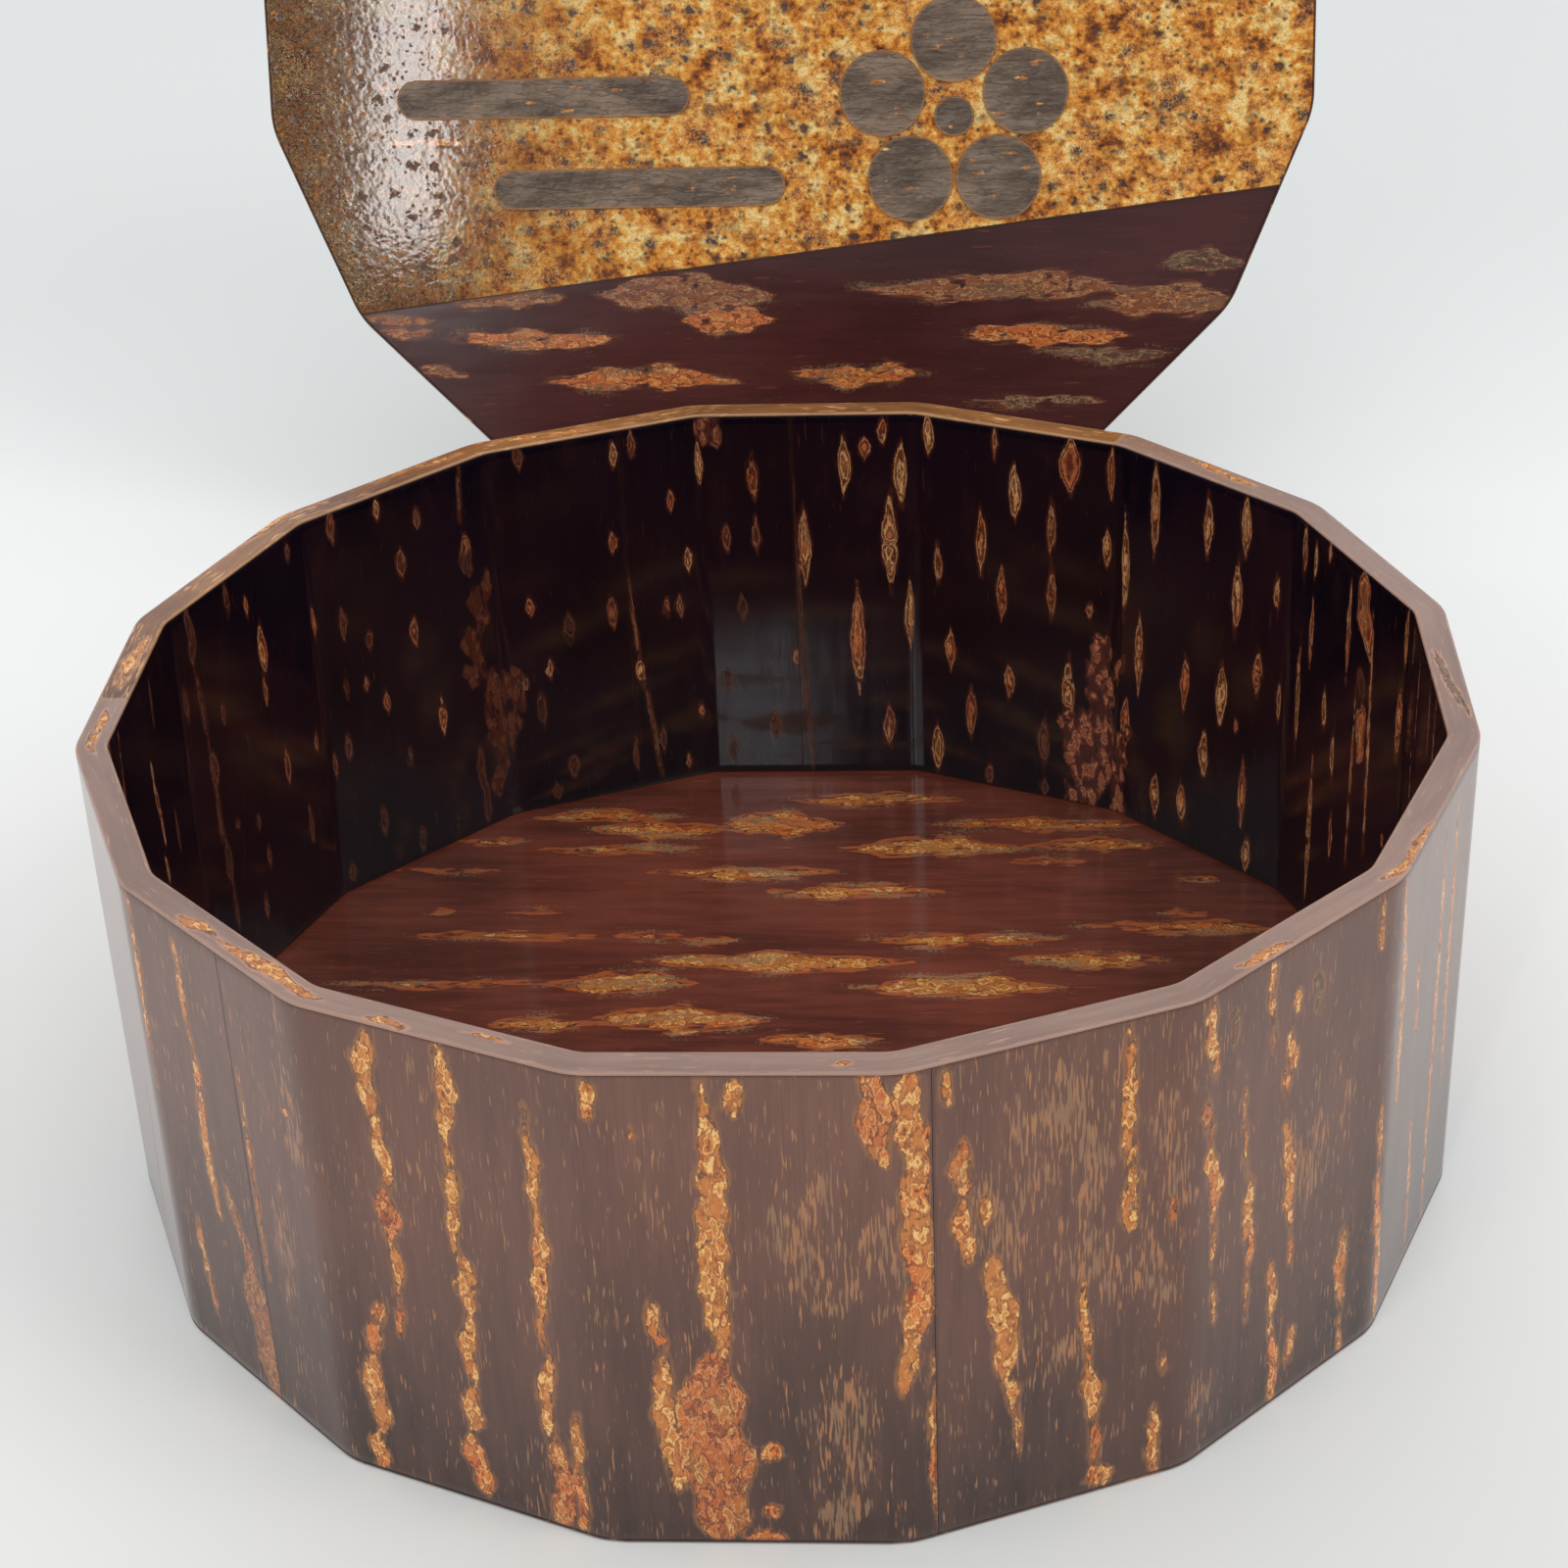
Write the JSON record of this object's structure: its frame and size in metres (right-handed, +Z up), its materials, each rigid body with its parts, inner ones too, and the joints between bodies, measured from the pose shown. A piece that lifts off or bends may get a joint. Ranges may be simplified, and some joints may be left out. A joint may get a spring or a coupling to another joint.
{
  "type": "lidded tea box",
  "caption": "Wide shallow many-sided wooden box covered in polished cherry bark, standing open with its bark-covered cap lid leaning behind it.",
  "frame": {"origin": "centre of the box's underside, on the surface that the box stands on", "axes": "+Z up; -Y is the front, which one flat side of the box and the face of the leaning lid look towards; +X to the right"},
  "size_m": [0.2923, 0.5162, 0.2919],
  "materials": {
    "bare_wood": "plain, planed",
    "dark_bark": "polished cherry bark, glossy",
    "inside_bark": "polished dark cherry bark, glossy",
    "floor_bark": "polished red-brown cherry bark, glossy",
    "golden_rim_bark": "polished golden cherry bark, satin",
    "mauve_rim_bark": "polished mauve-brown cherry bark, satin",
    "gold_bark": "mottled golden cherry bark, glossy",
    "red_bark": "dark red cherry bark, glossy",
    "grey_bark": "grey-brown unpolished cherry bark, matt"
  },
  "bodies": {
    "box": {"box_stave_01": "bare_wood", "box_stave_02": "bare_wood", "box_stave_03": "bare_wood", "box_stave_04": "bare_wood", "box_stave_05": "bare_wood", "box_stave_06": "bare_wood", "box_stave_07": "bare_wood", "box_stave_08": "bare_wood", "box_stave_09": "bare_wood", "box_stave_10": "bare_wood", "box_stave_11": "bare_wood", "box_stave_12": "bare_wood", "box_stave_13": "bare_wood", "box_stave_14": "bare_wood", "box_stave_15": "bare_wood", "box_stave_16": "bare_wood", "floor_board": "bare_wood", "outer_bark_1": "dark_bark", "outer_bark_2": "dark_bark", "outer_bark_3": "dark_bark", "outer_bark_4": "dark_bark", "base_bark": "dark_bark", "inner_bark_1": "inside_bark", "inner_bark_2": "inside_bark", "inner_bark_3": "inside_bark", "inner_bark_4": "inside_bark", "floor_bark": "floor_bark", "box_rim_bark_1": "golden_rim_bark", "box_rim_bark_2": "mauve_rim_bark"},
    "lid": {"lid_stave_01": "bare_wood", "lid_stave_02": "bare_wood", "lid_stave_03": "bare_wood", "lid_stave_04": "bare_wood", "lid_stave_05": "bare_wood", "lid_stave_06": "bare_wood", "lid_stave_07": "bare_wood", "lid_stave_08": "bare_wood", "lid_stave_09": "bare_wood", "lid_stave_10": "bare_wood", "lid_stave_11": "bare_wood", "lid_stave_12": "bare_wood", "lid_stave_13": "bare_wood", "lid_stave_14": "bare_wood", "lid_stave_15": "bare_wood", "lid_stave_16": "bare_wood", "lid_board": "bare_wood", "lid_lining_bark": "inside_bark", "skirt_bark": "dark_bark", "skirt_lining_bark": "inside_bark", "lid_rim_bark": "mauve_rim_bark", "lid_gold_bark": "gold_bark", "lid_red_bark": "red_bark", "petal_1": "grey_bark", "petal_2": "grey_bark", "petal_3": "grey_bark", "petal_4": "grey_bark", "petal_5": "grey_bark", "blossom_heart": "grey_bark", "mist_bar_1": "grey_bark", "mist_bar_2": "grey_bark"}
  },
  "joints": [
    {"name": "lid_lift", "type": "slide", "parent": "box", "child": "lid", "axis": [0, 0, 1], "range_m": [0, 0.15]}
  ]
}
